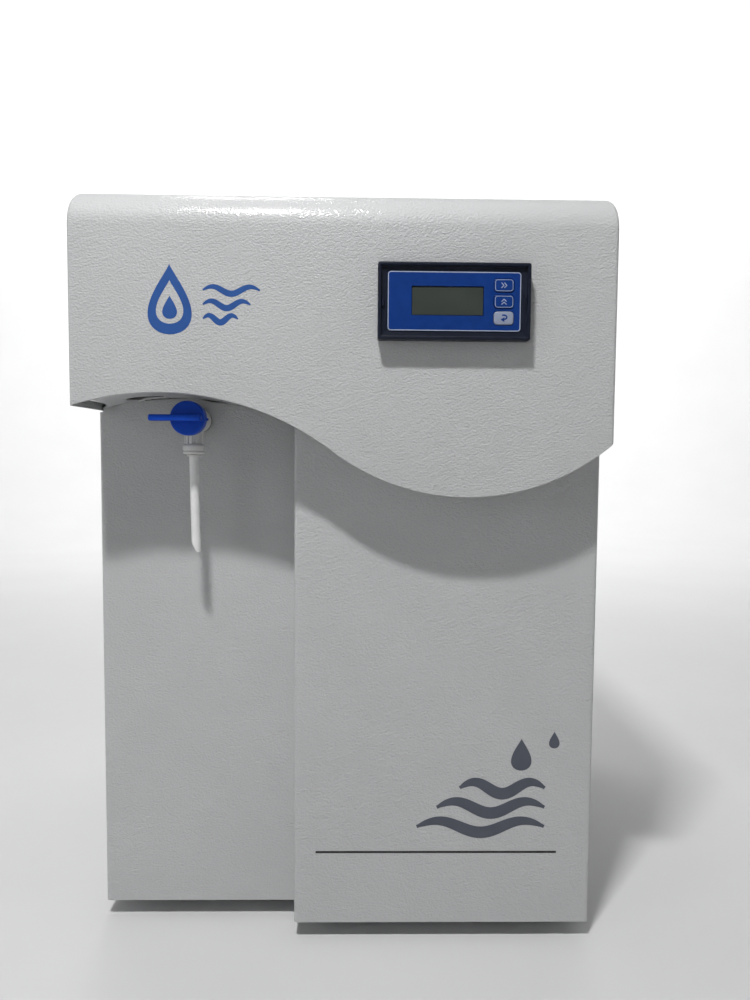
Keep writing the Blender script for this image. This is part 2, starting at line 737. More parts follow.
# Rubber feet, each with a well for its screw
foot_top = CASE_BOTTOM - SEAT_GAP
foot_profile = [
    (SCREW_BORE, FOOT_WELL_DEPTH),
    (FOOT_WELL_RADIUS, FOOT_WELL_DEPTH),
    (FOOT_WELL_RADIUS, 0),
    (FOOT_RADIUS - FOOT_TAPER, 0),
    (FOOT_RADIUS, foot_top),
    (SCREW_BORE, foot_top),
]
foot_names = ("foot_left_front", "foot_left_rear", "foot_right_front", "foot_right_rear")
for foot_name, foot_place in zip(foot_names, foot_places):
    turned(foot_name, foot_profile, BLACK_RUBBER, at=foot_place, sides=SMALL_SIDES, ring=True)

# Frame: four angle posts and a ring of angle rails, welded into one
def angle_plan(x, y, to_x, to_y):
    """An angle's section in plan, from its outer corner, with its legs along to_x and to_y."""
    shape = [(0, 0), (POST_LEG, 0), (POST_LEG, SHEET), (SHEET, SHEET), (SHEET, POST_LEG), (0, POST_LEG)]
    return [(x + to_x * across, y + to_y * back) for across, back in shape]


post_rear = REAR - SKIN
niche_post = NICHE_FRONT + 2 * SKIN
panel_post = PANEL_FRONT + 2 * SKIN
post_top = CASE_TOP - SHOULDER_RADIUS
chassis_frame = prism(
    "chassis_frame", angle_plan(-POST_X, niche_post, 1, 1), "Z", FLOOR, post_top, ZINC_STEEL)
weld(
    chassis_frame,
    prism("post_right_front", angle_plan(POST_X, panel_post, -1, 1), "Z", FLOOR, post_top),
    prism("post_left_rear", angle_plan(-POST_X, post_rear, 1, -1), "Z", FLOOR, post_top),
    prism("post_right_rear", angle_plan(POST_X, post_rear, -1, -1), "Z", FLOOR, post_top),
    prism("rail_left", angle_plan(-RAIL_X, RAIL_TOP, 1, -1), "Y", niche_post, post_rear),
    prism("rail_right", angle_plan(RAIL_X, RAIL_TOP, -1, -1), "Y", panel_post, post_rear),
    prism("rail_front", angle_plan(niche_post, RAIL_TOP, 1, -1), "X", -RAIL_X, RAIL_X),
    prism("rail_rear", angle_plan(post_rear, RAIL_TOP, -1, -1), "X", -RAIL_X, RAIL_X),
)

# Side panels: flat sheets with a strip along the top that tucks up behind the hood
def side_panel(name, side, front, skirt):
    """One side panel; side is -1 on the left and 1 on the right."""
    outline = [
        (side * HALF_WIDTH, CASE_BOTTOM),
        (side * HALF_WIDTH, skirt - SEAM),
        (side * (HALF_WIDTH - SKIN), skirt - SEAM),
        (side * (HALF_WIDTH - SKIN), skirt + PANEL_LAP),
        (side * (HALF_WIDTH - SKIN - SHEET), skirt + PANEL_LAP),
        (side * (HALF_WIDTH - SKIN - SHEET), skirt - SEAM - PANEL_LAP),
        (side * (HALF_WIDTH - SHEET), skirt - SEAM - PANEL_LAP),
        (side * (HALF_WIDTH - SHEET), CASE_BOTTOM),
    ]
    return prism(name, outline, "Y", front, REAR, POWDER_COAT)


left_side_panel = side_panel("left_side_panel", -1, NICHE_FRONT + PANEL_RETURN + SEAM, left_skirt)
right_side_panel = side_panel("right_side_panel", 1, PANEL_FRONT + PANEL_RETURN + SEAM, right_skirt)
side_slots = [
    (SIDE_SLOT_RISE + row * SLOT_PITCH + CASE_BOTTOM, REAR - SIDE_SLOT_BACK) for row in range(SIDE_SLOT_ROWS)
]
for side, panel in ((-1, left_side_panel), (1, right_side_panel)):
    near = min(side * (HALF_WIDTH + OVERRUN), side * (HALF_WIDTH - OVERRUN))
    far = max(side * (HALF_WIDTH + OVERRUN), side * (HALF_WIDTH - OVERRUN))
    cut(panel, blocks(panel.name + "_slots", [
        ((near, y - SLOT_LENGTH / 2, z), (far, y + SLOT_LENGTH / 2, z + SLOT_HEIGHT)) for z, y in side_slots
    ]))

# Back panel: the cabinet's whole rear outline, with air slots and the connections' holes
back_outline = [(-HALF_WIDTH, CASE_BOTTOM), (HALF_WIDTH, CASE_BOTTOM)]
back_outline += corner_arc(
    HALF_WIDTH - SHOULDER_RADIUS, CASE_TOP - SHOULDER_RADIUS, SHOULDER_RADIUS, 0, pi / 2)
back_outline += corner_arc(
    -HALF_WIDTH + SHOULDER_RADIUS, CASE_TOP - SHOULDER_RADIUS, SHOULDER_RADIUS, pi / 2, pi)
back_panel = prism("back_panel", back_outline, "Y", CASE_BACK - SHEET, CASE_BACK, POWDER_COAT)
back_slots = blocks("back_slots", [
    (
        (x - SLOT_LENGTH / 2, CASE_BACK - OVERRUN, CASE_TOP - BACK_SLOT_DROP - row * SLOT_PITCH),
        (x + SLOT_LENGTH / 2, CASE_BACK + OVERRUN,
         CASE_TOP - BACK_SLOT_DROP - row * SLOT_PITCH + SLOT_HEIGHT),
    )
    for x in (-BACK_SLOT_X, BACK_SLOT_X)
    for row in range(BACK_SLOT_ROWS)
])
port_places = [(x, CASE_BACK, PORT_Z) for x in (TANK_X, FEED_X, DRAIN_X)]
port_holes = rods("port_holes", PORT_SHANK_RADIUS + SEAT_GAP, -OVERRUN, OVERRUN, port_places, "+Y")
inlet_hole = prism(
    "inlet_hole",
    rounded(INLET_X, INLET_Z, INLET_WIDTH + 2 * SEAT_GAP, INLET_HEIGHT + 2 * SEAT_GAP, BEZEL_CORNER),
    "Y", CASE_BACK - OVERRUN, CASE_BACK + OVERRUN)
cut(back_panel, back_slots, port_holes, inlet_hole)

# Filter plate: a folded partition that stands on the tray under the rails
plate_plan = [
    (-RAIL_X, PLATE_FRONT),
    (RAIL_X, PLATE_FRONT),
    (RAIL_X, PLATE_FRONT + PLATE_FLANGE),
    (RAIL_X - SHEET, PLATE_FRONT + PLATE_FLANGE),
    (RAIL_X - SHEET, PLATE_BACK),
    (-RAIL_X + SHEET, PLATE_BACK),
    (-RAIL_X + SHEET, PLATE_FRONT + PLATE_FLANGE),
    (-RAIL_X, PLATE_FRONT + PLATE_FLANGE),
]
filter_plate = prism("filter_plate", plate_plan, "Z", FLOOR, PLATE_TOP, ZINC_STEEL)
cut(filter_plate, rods(
    "plate_holes", PLATE_HOLE_RADIUS, -OVERRUN, OVERRUN,
    [(x, PLATE_FRONT, CASE_TOP - PLATE_HOLE_DROP) for x in (-BACK_SLOT_X, BACK_SLOT_X)], "+Y", ROUND_SIDES))


def bottle(name, x, y, bottom, radius, length, cap, lip):
    """A filter that stands upright between its two bosses, with a lipped screw cap on top."""
    high = length - BOSS_LENGTH
    profile = [
        (0, 0),
        (BOSS_RADIUS, 0),
        (BOSS_RADIUS, BOSS_LENGTH),
        (radius - DOME_LENGTH / 2, BOSS_LENGTH),
        (radius, BOSS_LENGTH + DOME_LENGTH),
        (radius, high - cap),
        (radius + lip, high - cap),
        (radius + lip, high - DOME_LENGTH),
        (radius - DOME_LENGTH / 2, high),
        (BOSS_RADIUS, high),
        (BOSS_RADIUS, length),
        (0, length),
    ]
    return turned(name, profile, WHITE_PLASTIC, at=(x, y, bottom), sides=FILTER_SIDES)


# Filters: sealed cartridges in front of the plate, the membrane housing behind it
cartridge_bottom = FLOOR + CARTRIDGE_RISE
cartridge_y = PLATE_FRONT - CLIP_STANDOFF - CARTRIDGE_RADIUS
polisher_y = PLATE_FRONT - CLIP_STANDOFF - POLISHER_RADIUS
sediment_x = RAIL_X - CARTRIDGE_EDGE - CARTRIDGE_RADIUS - CAP_LIP
carbon_x = sediment_x - 2 * (CARTRIDGE_RADIUS + CAP_LIP) - CARTRIDGE_SPACING
polisher_x = carbon_x - CARTRIDGE_RADIUS - POLISHER_RADIUS - 2 * CAP_LIP - POLISHER_SPACING
filters = (
    ("sediment_cartridge", sediment_x, cartridge_y, CARTRIDGE_RADIUS),
    ("carbon_cartridge", carbon_x, cartridge_y, CARTRIDGE_RADIUS),
    ("polishing_cartridge", polisher_x, polisher_y, POLISHER_RADIUS),
)
for name, x, y, radius in filters:
    bottle(name, x, y, cartridge_bottom, radius, CARTRIDGE_LENGTH, CAP_LENGTH, CAP_LIP)
membrane_x = RAIL_X - SHEET - CARTRIDGE_EDGE - MEMBRANE_RADIUS - MEMBRANE_CAP_LIP
membrane_y = PLATE_BACK + CLIP_STANDOFF + MEMBRANE_RADIUS
membrane_bottom = PLATE_TOP - MEMBRANE_DROP - MEMBRANE_LENGTH
bottle("membrane_housing", membrane_x, membrane_y, membrane_bottom, MEMBRANE_RADIUS,
       MEMBRANE_LENGTH, MEMBRANE_CAP, MEMBRANE_CAP_LIP)


def clip_plan(x, y, radius, plate_y, towards):
    """A clip's plan: a ring that is open away from the plate, with a foot on the plate."""
    inner = radius + SEAT_GAP
    outer = inner + CLIP_THICKNESS
    steps = FILTER_SIDES - CLIP_OPENING_SIDES
    turns = [2 * pi * (step + CLIP_OPENING_SIDES / 2) / FILTER_SIDES for step in range(steps + 1)]
    away = -towards * pi / 2
    half = steps // 2
    ring_out = [(x + outer * cos(away + turn), y + outer * sin(away + turn)) for turn in turns]
    ring_in = [(x + inner * cos(away + turn), y + inner * sin(away + turn)) for turn in turns]
    foot = [(x + towards * CLIP_FOOT / 2, plate_y), (x - towards * CLIP_FOOT / 2, plate_y)]
    return ring_out[:half] + foot + ring_out[half + 1:] + ring_in[::-1]


# Clip rails: each is one moulded strip on the plate with a clip for every cartridge
clip_face = PLATE_FRONT - SEAT_GAP
rail_low = polisher_x - POLISHER_RADIUS
rail_high = sediment_x + CARTRIDGE_RADIUS
clip_low = cartridge_bottom + BOSS_LENGTH + DOME_LENGTH + CLIP_DOME_GAP
clip_high = cartridge_bottom + CARTRIDGE_LENGTH - BOSS_LENGTH - CAP_LENGTH - CLIP_CAP_GAP - CLIP_HEIGHT
for rail_name, low in (("clip_rail_low", clip_low), ("clip_rail_high", clip_high)):
    high = low + CLIP_HEIGHT
    clip_rail = block(
        rail_name, (rail_low, clip_face - CLIP_THICKNESS, low), (rail_high, clip_face, high), WHITE_PLASTIC)
    for name, x, y, radius in filters:
        weld(clip_rail, prism(rail_name + "_" + name, clip_plan(x, y, radius, clip_face, 1), "Z", low, high))
membrane_clip_low = membrane_bottom + MEMBRANE_LENGTH / 2
membrane_clip = prism(
    "membrane_clip", clip_plan(membrane_x, membrane_y, MEMBRANE_RADIUS, PLATE_BACK + SEAT_GAP, -1),
    "Z", membrane_clip_low, membrane_clip_low + CLIP_HEIGHT, WHITE_PLASTIC)

# Panel meter: a bezel on the hood, a case through it, and a board behind the film
bezel_outline = rounded(METER_X, METER_Z, BEZEL_WIDTH, BEZEL_HEIGHT, BEZEL_CORNER)
bezel_back = HEAD_FRONT - SEAT_GAP
meter_bezel = prism("meter_bezel", bezel_outline, "Y", BEZEL_FRONT, bezel_back, BLACK_PLASTIC)
rim_outline = rounded(
    METER_X, METER_Z, BEZEL_WIDTH - 2 * RIM_WIDTH, BEZEL_HEIGHT - 2 * RIM_WIDTH, BEZEL_CORNER)
bezel_rim = prism("bezel_rim", rim_outline, "Y", BEZEL_FRONT - OVERRUN, FILM_FRONT)
film_hole = rounded(
    METER_X, METER_Z, FILM_WIDTH + 2 * SEAT_GAP, FILM_HEIGHT + 2 * SEAT_GAP, FILM_CORNER)
bezel_film = prism("bezel_film", film_hole, "Y", BEZEL_FRONT - OVERRUN, HEAD_FRONT + OVERRUN)
board_width = METER_CASE_WIDTH - 2 * METER_CASE_WALL + 2 * BOARD_SEAT
board_height = METER_CASE_HEIGHT - 2 * METER_CASE_WALL + 2 * BOARD_SEAT
board_hole = rounded(
    METER_X, METER_Z, board_width + 2 * SEAT_GAP, board_height + 2 * SEAT_GAP, BEZEL_CORNER)
bezel_board = prism("bezel_board", board_hole, "Y", FILM_BACK + SEAT_GAP, HEAD_FRONT + OVERRUN)
notches = blocks("bezel_notches", [
    (
        (METER_X + side * BEZEL_WIDTH / 2 - NOTCH_WIDTH, BEZEL_FRONT - OVERRUN, METER_Z - NOTCH_HEIGHT / 2),
        (METER_X + side * BEZEL_WIDTH / 2 + NOTCH_WIDTH, BEZEL_FRONT + NOTCH_WIDTH,
         METER_Z + NOTCH_HEIGHT / 2),
    )
    for side in (-1, 1)
])
cut(meter_bezel, bezel_rim, bezel_film, bezel_board, notches)
bezel_edge = meter_bezel.modifiers.new("edge", "BEVEL")
bezel_edge.width = BEZEL_CHAMFER
bezel_edge.segments = 1
bezel_edge.limit_method = "ANGLE"
bezel_edge.angle_limit = CREASE_ANGLE
meter_bezel.modifiers.move(len(meter_bezel.modifiers) - 1, 0)

case_outline = rounded(METER_X, METER_Z, METER_CASE_WIDTH, METER_CASE_HEIGHT, BEZEL_CORNER)
meter_case = prism("meter_case", case_outline, "Y", HEAD_FRONT, HEAD_FRONT + METER_DEPTH, BLACK_PLASTIC)
case_hollow = prism(
    "case_hollow",
    rounded(METER_X, METER_Z, METER_CASE_WIDTH - 2 * METER_CASE_WALL,
            METER_CASE_HEIGHT - 2 * METER_CASE_WALL, BEZEL_CORNER),
    "Y", HEAD_FRONT - OVERRUN, HEAD_FRONT + METER_DEPTH - METER_CASE_WALL)
cut(meter_case, case_hollow)

film_outline = rounded(METER_X, METER_Z, FILM_WIDTH, FILM_HEIGHT, FILM_CORNER)
meter_faceplate = prism("meter_faceplate", film_outline, "Y", FILM_FRONT, FILM_BACK, BLUE_FILM)
lcd_centre = METER_X + LCD_X
lcd_hole = prism(
    "lcd_hole", rounded(lcd_centre, METER_Z, LCD_WIDTH, LCD_HEIGHT, BEZEL_CORNER),
    "Y", FILM_FRONT - OVERRUN, FILM_BACK + OVERRUN)
cut(meter_faceplate, lcd_hole)

lcd_front = FILM_BACK + SEAT_GAP
lcd_back = lcd_front + LCD_THICKNESS
lcd_panel = prism(
    "lcd_panel",
    rounded(lcd_centre, METER_Z, LCD_WIDTH + 2 * LCD_BORDER, LCD_HEIGHT + 2 * LCD_BORDER, BEZEL_CORNER),
    "Y", lcd_front, lcd_back, LCD_GREEN)
lcd_pane = prism(
    "lcd_pane",
    rounded(lcd_centre, METER_Z, LCD_WIDTH - 2 * SEAT_GAP, LCD_HEIGHT - 2 * SEAT_GAP, BEZEL_CORNER),
    "Y", FILM_FRONT + LCD_RECESS, lcd_back - SHEET)
weld(lcd_panel, lcd_pane)

board_front = lcd_back + SEAT_GAP
board_back = HEAD_FRONT - SEAT_GAP
meter_board = prism(
    "meter_board", rounded(METER_X, METER_Z, board_width, board_height, BEZEL_CORNER),
    "Y", board_front, board_back, CIRCUIT_GREEN)
key_back = FILM_FRONT - KEY_PROUD + KEY_THICKNESS
key_names = ("key_enter", "key_up", "key_shift")
key_places = [(METER_X + KEY_X, METER_Z + KEY_PITCH * place) for place in (-1, 0, 1)]
for key_name, (x, z) in zip(key_names, key_places):
    cap = [(u - x, v - z) for u, v in rounded(x, z, KEY_WIDTH, KEY_HEIGHT, KEY_CORNER)]
    key = prism(key_name, cap, "Y", 0, KEY_THICKNESS, GREY_KEY if key_name == "key_enter" else BLUE_FILM)
    key.location = (x, FILM_FRONT - KEY_PROUD, z)
    key_hole = prism(
        key_name + "_hole",
        rounded(x, z, KEY_WIDTH + 2 * SEAT_GAP, KEY_HEIGHT + 2 * SEAT_GAP, KEY_CORNER + SEAT_GAP),
        "Y", FILM_FRONT - OVERRUN, FILM_BACK + OVERRUN)
    cut(meter_faceplate, key_hole)
    contact = block(
        key_name + "_contact",
        (x - SWITCH_SIZE / 2, key_back + KEY_TRAVEL + SEAT_GAP, z - SWITCH_SIZE / 2),
        (x + SWITCH_SIZE / 2, board_front + SEAT_GAP, z + SWITCH_SIZE / 2))
    weld(meter_board, contact)

terminal_low = HEAD_FRONT + METER_DEPTH + SEAT_GAP
meter_terminals = block(
    "meter_terminals",
    (METER_X - TERMINAL_WIDTH / 2, terminal_low, METER_Z - TERMINAL_HEIGHT / 2),
    (METER_X + TERMINAL_WIDTH / 2, terminal_low + TERMINAL_DEPTH, METER_Z + TERMINAL_HEIGHT / 2),
    TERMINAL_GREEN)
terminal_pitch = TERMINAL_WIDTH / TERMINAL_SCREWS
cut(meter_terminals, rods(
    "terminal_wells", TERMINAL_SCREW_RADIUS, -TERMINAL_DEPTH / 2, OVERRUN,
    [
        (METER_X + terminal_pitch * place / 2, terminal_low + TERMINAL_DEPTH, METER_Z)
        for place in range(-TERMINAL_SCREWS + 1, TERMINAL_SCREWS, 2)
    ],
    "+Y", HEX_SIDES))

# Clamp collar: slides up the case from behind and holds it against the hood
clamp_front = HEAD_FRONT + SKIN
meter_clamp = prism(
    "meter_clamp",
    rounded(METER_X, METER_Z, METER_CASE_WIDTH + 2 * CLAMP_WIDTH, METER_CASE_HEIGHT + 2 * CLAMP_WIDTH,
            BEZEL_CORNER),
    "Y", clamp_front, clamp_front + CLAMP_LENGTH, BLACK_PLASTIC)
clamp_bore = prism(
    "clamp_bore",
    rounded(METER_X, METER_Z, METER_CASE_WIDTH + 2 * SEAT_GAP, METER_CASE_HEIGHT + 2 * SEAT_GAP,
            BEZEL_CORNER),
    "Y", clamp_front - OVERRUN, clamp_front + CLAMP_LENGTH + OVERRUN)
clamp_arch = CLAMP_LENGTH - CLAMP_HEIGHT
clamp_sides = blocks("clamp_windows", [
    (
        (METER_X + side * METER_CASE_WIDTH / 2 - CLAMP_WIDTH * 2, clamp_front + CLAMP_HEIGHT / 2,
         METER_Z - METER_CASE_HEIGHT / 4),
        (METER_X + side * METER_CASE_WIDTH / 2 + CLAMP_WIDTH * 2, clamp_front + clamp_arch,
         METER_Z + METER_CASE_HEIGHT / 4),
    )
    for side in (-1, 1)
])
cut(meter_clamp, clamp_bore, clamp_sides)

# Tap: a quarter-turn ball valve whose shank passes through the niche panel
gasket_back = NICHE_FRONT - SEAT_GAP
flange_back = gasket_back - GASKET_THICKNESS - SEAT_GAP
flange_front = flange_back - SHANK_FLANGE
barrel_back = flange_front - SEAT_GAP
knob_back = HEAD_FRONT + KNOB_SETBACK + KNOB_DEPTH
barrel_front = knob_back + HOSE_CLEARANCE
nut_front = NICHE_FRONT + SKIN
shank_back = NICHE_FRONT + SHANK_REACH
spigot_radius = BALL_RADIUS
cavity_radius = BALL_RADIUS + SEAT_GAP
spigot_front = SPOUT_Y + sqrt(BALL_RADIUS ** 2 - BALL_PORT ** 2) + SEAT_GAP
hose_stop = shank_back - BOSS_LENGTH
tap_gasket = turned(
    "tap_gasket",
    [
        (SHANK_RADIUS + SEAT_GAP, 0),
        (SHANK_FLANGE_RADIUS, 0),
        (SHANK_FLANGE_RADIUS, GASKET_THICKNESS),
        (SHANK_RADIUS + SEAT_GAP, GASKET_THICKNESS),
    ],
    BLACK_RUBBER, at=(TAP_X, gasket_back, TAP_Z), turn="-Y", ring=True)
shank_profile = [
    (BALL_PORT, spigot_front),
    (spigot_radius, spigot_front),
    (spigot_radius, flange_front),
    (SHANK_FLANGE_RADIUS, flange_front),
    (SHANK_FLANGE_RADIUS, flange_back),
    (SHANK_RADIUS, flange_back),
    (SHANK_RADIUS, shank_back),
    (HOSE_RADIUS + SEAT_GAP, shank_back),
    (HOSE_RADIUS + SEAT_GAP, hose_stop),
    (BALL_PORT, hose_stop),
]
tap_shank = turned("tap_shank", shank_profile, WHITE_PLASTIC, at=(TAP_X, 0, TAP_Z), turn="+Y", ring=True)
tap_nut = prism(
    "tap_nut", hexagon(TAP_X, TAP_Z, NUT_FLATS), "Y", nut_front, nut_front + NUT_HEIGHT, WHITE_PLASTIC)
cut(tap_nut, rods("nut_bore", SHANK_RADIUS + SEAT_GAP, -OVERRUN, NUT_HEIGHT + OVERRUN,
                  [(TAP_X, nut_front, TAP_Z)], "+Y", ROUND_SIDES))

barrel_profile = [
    (0, barrel_front),
    (BARREL_RADIUS - KNOB_EDGE, barrel_front),
    (BARREL_RADIUS, barrel_front + KNOB_EDGE),
    (BARREL_RADIUS, barrel_back),
    (0, barrel_back),
]
tap_body = turned("tap_body", barrel_profile, WHITE_PLASTIC, at=(TAP_X, 0, TAP_Z), turn="+Y")
collar_low = TAP_Z - COLLAR_DROP
collar_top = collar_low + COLLAR_HEIGHT
branch_low = collar_low + COLLAR_LIP + SEAT_GAP
branch = turned("tap_branch", rod(BRANCH_RADIUS, branch_low, TAP_Z), at=(TAP_X, SPOUT_Y, 0))
rib_low = collar_top + SEAT_GAP
form = bmesh.new()
for rib in range(BRANCH_RIBS):
    turn = 2 * pi * rib / BRANCH_RIBS
    rib_x = TAP_X + BRANCH_RADIUS * cos(turn)
    rib_y = SPOUT_Y + BRANCH_RADIUS * sin(turn)
    add_turned(form, rod(BRANCH_RIB, rib_low, TAP_Z - BALL_RADIUS), HEX_SIDES,
               place=Matrix.Translation((rib_x, rib_y, 0)))
branch_ribs = piece("branch_ribs", form)
weld(tap_body, branch, branch_ribs)
cavity = [(0, SPOUT_Y - cavity_radius)]
for step in range(1, BALL_RINGS // 2 + 1):
    turn = pi * step / BALL_RINGS
    cavity.append((cavity_radius * sin(turn), SPOUT_Y - cavity_radius * cos(turn)))
cavity += [(cavity_radius, barrel_back + OVERRUN), (0, barrel_back + OVERRUN)]
valve_cavity = turned("valve_cavity", cavity, at=(TAP_X, 0, TAP_Z), turn="+Y")
stem_bore = rods("stem_bore", STEM_RADIUS + SEAT_GAP, barrel_front - OVERRUN, SPOUT_Y,
                 [(TAP_X, 0, TAP_Z)], "+Y")
hose_seat_top = branch_low + BOSS_LENGTH
branch_bore = turned(
    "branch_bore",
    [
        (0, branch_low - OVERRUN),
        (HOSE_BORE, branch_low - OVERRUN),
        (HOSE_BORE, hose_seat_top),
        (BALL_PORT, hose_seat_top),
        (BALL_PORT, TAP_Z),
        (0, TAP_Z),
    ],
    at=(TAP_X, SPOUT_Y, 0), sides=SMALL_SIDES)
cut(tap_body, valve_cavity, stem_bore, branch_bore)

# Ball and stem: the bore comes in along the shank and turns out beside the lever
stem_front = HEAD_FRONT + KNOB_SETBACK + KNOB_DEPTH - STEM_SOCKET + SEAT_GAP
neck = sqrt(BALL_RADIUS ** 2 - STEM_RADIUS ** 2)
neck_turn = asin(STEM_RADIUS / BALL_RADIUS)
ball_profile = [(0, BALL_RADIUS)]
for step in range(1, BALL_RINGS + 1):
    turn = (pi - neck_turn) * step / BALL_RINGS
    ball_profile.append((BALL_RADIUS * sin(turn), BALL_RADIUS * cos(turn)))
ball_profile += [(STEM_RADIUS, stem_front - SPOUT_Y), (0, stem_front - SPOUT_Y)]
valve_ball = turned(
    "valve_ball", ball_profile[::-1], POLISHED_STEEL, at=(TAP_X, SPOUT_Y, TAP_Z), turn="+Y",
    sides=FILTER_SIDES)
ball_inlet = rods("ball_inlet", BALL_PORT, 0, BALL_RADIUS + OVERRUN, [(TAP_X, SPOUT_Y, TAP_Z)], "+Y")
ball_outlet = rods("ball_outlet", BALL_PORT, 0, BALL_RADIUS + OVERRUN, [(TAP_X, SPOUT_Y, TAP_Z)], "-X")
cut(valve_ball, ball_inlet, ball_outlet)

# Knob: a disc with the lever's blade across its face and a stop tab behind, on the stem
knob_profile = [
    (0, 0),
    (KNOB_RADIUS - KNOB_EDGE, 0),
    (KNOB_RADIUS, -KNOB_EDGE),
    (KNOB_RADIUS, -KNOB_DEPTH),
    (0, -KNOB_DEPTH),
]
knob_face = HEAD_FRONT + KNOB_SETBACK
tap_knob = turned(
    "tap_knob", knob_profile[::-1], BLUE_KNOB, at=(TAP_X, knob_face, TAP_Z), turn="-Y", sides=KNOB_SIDES)
blade_width = LEVER_REACH + LEVER_TAIL
blade_centre = TAP_X - (LEVER_REACH - LEVER_TAIL) / 2
lever_blade = prism(
    "lever_blade", rounded(blade_centre, TAP_Z, blade_width, LEVER_THICKNESS, KNOB_EDGE),
    "Y", knob_face - LEVER_PROUD, knob_face + LEVER_SUNK)
tab_wedge = [
    (TAP_X + KNOB_RADIUS - TAB_REACH, TAP_Z - LEVER_THICKNESS / 2),
    (TAP_X + KNOB_RADIUS + TAB_REACH, TAP_Z - LEVER_THICKNESS / 4),
    (TAP_X + KNOB_RADIUS - TAB_REACH, TAP_Z + LEVER_THICKNESS / 2),
]
stop_tab = prism("stop_tab", tab_wedge, "Y", knob_back - TAB_DEPTH, knob_back)
weld(tap_knob, lever_blade, stop_tab)
cut(tap_knob, rods("stem_socket", STEM_RADIUS + SEAT_GAP, -STEM_SOCKET, OVERRUN,
                   [(TAP_X, knob_back, TAP_Z)], "+Y", FILTER_SIDES))

# Spout: a collar nut on the branch, a ring and a hose that is cut at a slant
spout_nut = turned(
    "spout_nut",
    [
        (HOSE_BORE, collar_low),
        (COLLAR_RADIUS - COLLAR_CHAMFER, collar_low),
        (COLLAR_RADIUS, collar_low + COLLAR_CHAMFER),
        (COLLAR_RADIUS, collar_top - COLLAR_CHAMFER),
        (COLLAR_RADIUS - COLLAR_CHAMFER, collar_top),
        (BRANCH_RADIUS + SEAT_GAP, collar_top),
        (BRANCH_RADIUS + SEAT_GAP, collar_low + COLLAR_LIP),
        (HOSE_BORE, collar_low + COLLAR_LIP),
    ],
    WHITE_PLASTIC, at=(TAP_X, SPOUT_Y, 0), ring=True)
ring_top = collar_low - SEAT_GAP
spout_ring = turned(
    "spout_ring",
    [
        (HOSE_BORE, ring_top - RING_HEIGHT),
        (RING_RADIUS, ring_top - RING_HEIGHT),
        (RING_RADIUS, ring_top),
        (HOSE_BORE, ring_top),
    ],
    WHITE_PLASTIC, at=(TAP_X, SPOUT_Y, 0), ring=True)
spout_end = TAP_Z - SPOUT_DROP
spout_length = hose_seat_top - SEAT_GAP - spout_end
spout_above = hose_seat_top - SEAT_GAP - collar_low
spout_tube = turned(
    "spout_tube",
    [
        (HOSE_RADIUS - HOSE_WALL, spout_above - spout_length),
        (HOSE_RADIUS, spout_above - spout_length),
        (HOSE_RADIUS, spout_above),
        (HOSE_RADIUS - HOSE_WALL, spout_above),
    ],
    MILKY_HOSE, at=(TAP_X, SPOUT_Y, collar_low), sides=SMALL_SIDES, ring=True)
spout_tube.rotation_euler = (0, -SPOUT_LEAN, 0)
end_x = TAP_X + (collar_low - spout_end) * tan(SPOUT_LEAN)
cut_left_x = end_x - HOSE_RADIUS
slant = SPOUT_CUT_HEIGHT / SPOUT_CUT_WIDTH
slant_outline = [
    (cut_left_x - SPOUT_CUT_WIDTH, spout_end + SPOUT_CUT_HEIGHT + slant * SPOUT_CUT_WIDTH),
    (cut_left_x - SPOUT_CUT_WIDTH, spout_end - SPOUT_CUT_HEIGHT),
    (cut_left_x + 2 * SPOUT_CUT_WIDTH, spout_end - SPOUT_CUT_HEIGHT),
]
cut(spout_tube, prism("spout_slant", slant_outline, "Y", SPOUT_Y - OVERRUN, SPOUT_Y + OVERRUN))

# Pump: the motor and the head meet on an angle bracket that stands on the tray
pump_y = PLATE_BACK + PUMP_CLEARANCE + PUMP_HEAD_RADIUS
pump_z = FLOOR + PUMP_RISE
bracket_outline = [
    (PUMP_X - PUMP_BASE_LENGTH, FLOOR),
    (PUMP_X, FLOOR),
    (PUMP_X, pump_z + PUMP_HEAD_RADIUS),
    (PUMP_X - SHEET, pump_z + PUMP_HEAD_RADIUS),
    (PUMP_X - SHEET, FLOOR + SHEET),
    (PUMP_X - PUMP_BASE_LENGTH, FLOOR + SHEET),
]
pump_bracket = prism(
    "pump_bracket", bracket_outline, "Y",
    pump_y - PUMP_BASE_WIDTH / 2, pump_y + PUMP_BASE_WIDTH / 2, ZINC_STEEL)
cut(pump_bracket, rods("bracket_bore", MOTOR_BOSS_RADIUS + SEAT_GAP, -OVERRUN, OVERRUN,
                       [(PUMP_X - SHEET / 2, pump_y, pump_z)], "+X", ROUND_SIDES))
motor_face = PUMP_X - SHEET - SEAT_GAP
pump_motor = turned(
    "pump_motor",
    [
        (0, MOTOR_LENGTH),
        (MOTOR_BOSS_RADIUS, MOTOR_LENGTH),
        (MOTOR_RADIUS - KNOB_EDGE, MOTOR_LENGTH - BEZEL_CHAMFER),
        (MOTOR_RADIUS, MOTOR_LENGTH - 2 * BEZEL_CHAMFER),
        (MOTOR_RADIUS, 0),
        (MOTOR_BOSS_RADIUS, 0),
        (MOTOR_BOSS_RADIUS, -SHEET - SEAT_GAP),
        (0, -SHEET - SEAT_GAP),
    ][::-1],
    MOTOR_BLACK, at=(motor_face, pump_y, pump_z), turn="-X")
